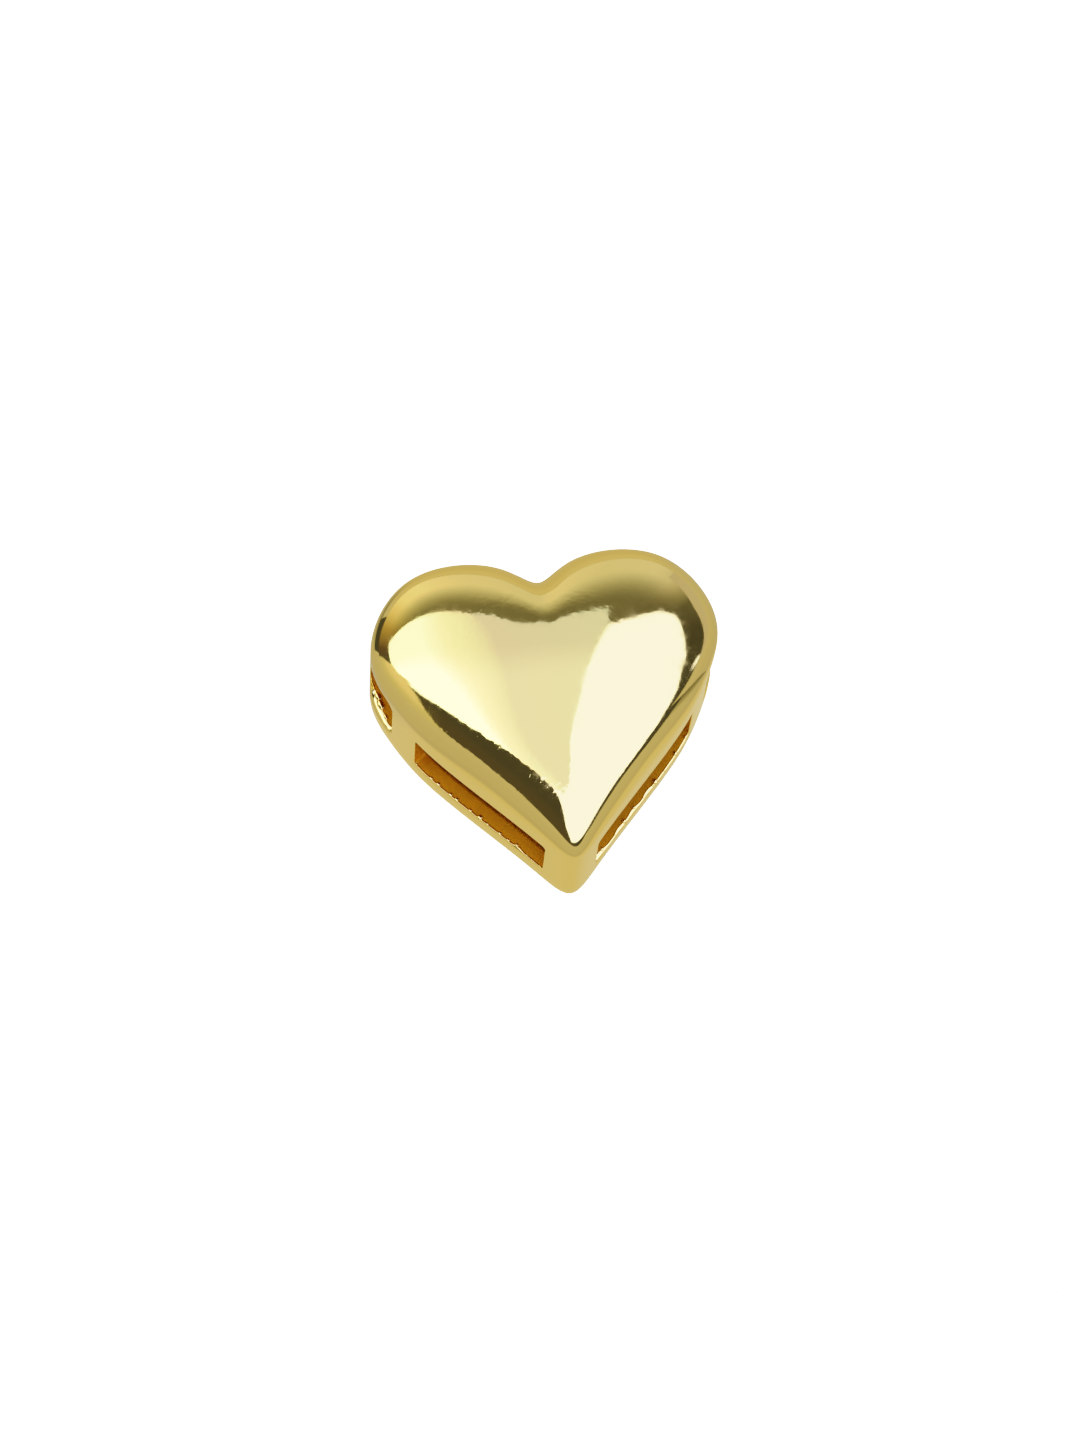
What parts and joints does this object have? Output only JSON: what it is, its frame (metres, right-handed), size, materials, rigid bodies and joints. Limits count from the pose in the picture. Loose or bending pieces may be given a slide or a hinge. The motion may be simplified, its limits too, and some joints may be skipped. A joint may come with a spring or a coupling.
{
  "type": "heart slide pendant",
  "caption": "Hollow polished heart with a domed front, a flat back and slots through its side wall, which slides on a band or a ribbon.",
  "frame": {"origin": "middle of the heart's outline, on the flat back that it lies on", "axes": "+X to the right as seen from the front, +Y towards the notch between the lobes, +Z out of the domed front"},
  "size_m": [0.012, 0.0112, 0.0061],
  "materials": {
    "gold": "mirror-polished gold plating, rough and deeper in colour inside"
  },
  "bodies": {
    "root": {"heart_body": "gold"}
  },
  "joints": []
}
